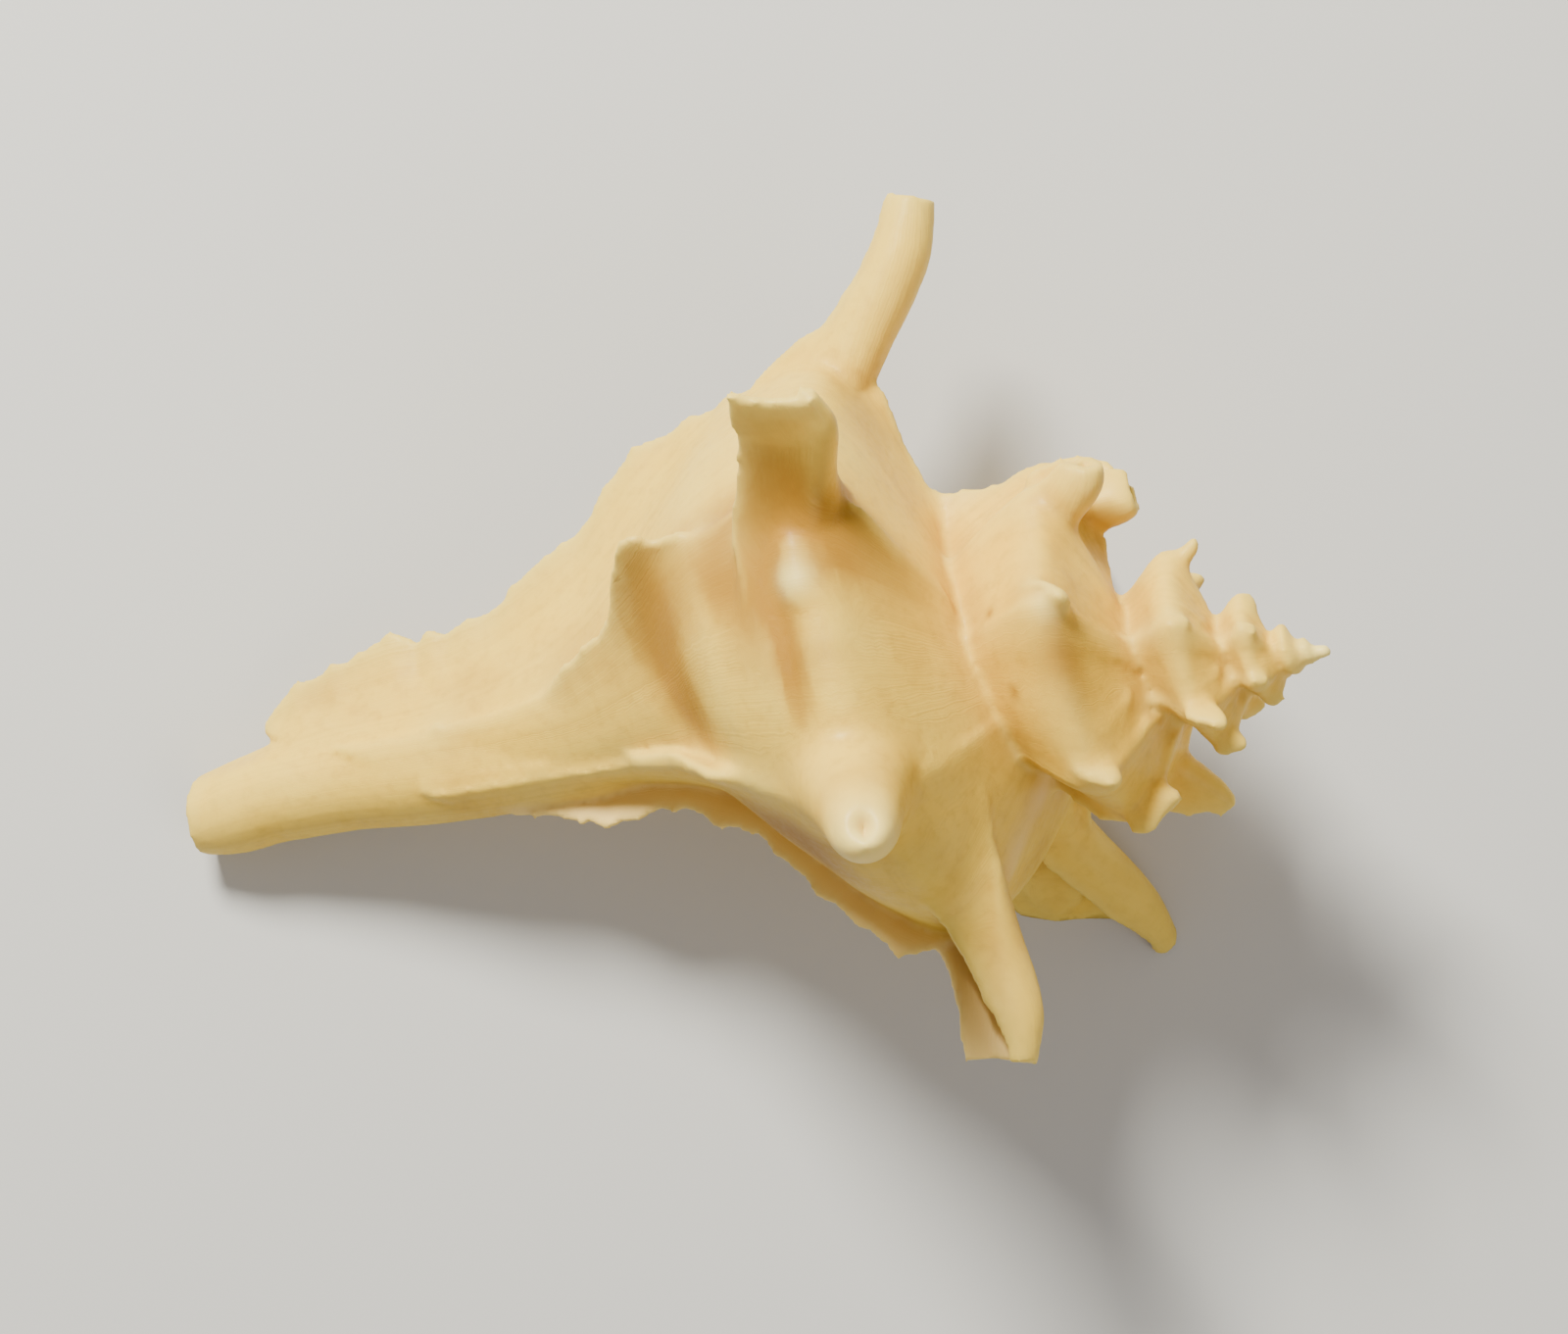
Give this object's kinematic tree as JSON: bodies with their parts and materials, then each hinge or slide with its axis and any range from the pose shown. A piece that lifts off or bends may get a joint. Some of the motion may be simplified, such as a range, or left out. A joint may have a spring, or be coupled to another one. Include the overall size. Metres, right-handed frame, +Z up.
{
  "type": "trophon sea snail shell",
  "caption": "Spired marine snail shell with flared blades, hollow shoulder spines and a long open canal, lying on its underside.",
  "frame": {"origin": "centre of the footprint on the surface that the shell lies on", "axes": "+X from the canal towards the apex, +Y towards the outer lip's spine, +Z up, away from the surface"},
  "size_m": [0.073, 0.0542, 0.0405],
  "materials": {
    "shell": "satin cream-yellow shell, waxy, paler at the free edges"
  },
  "bodies": {
    "root": {"shell": "shell"}
  },
  "joints": []
}
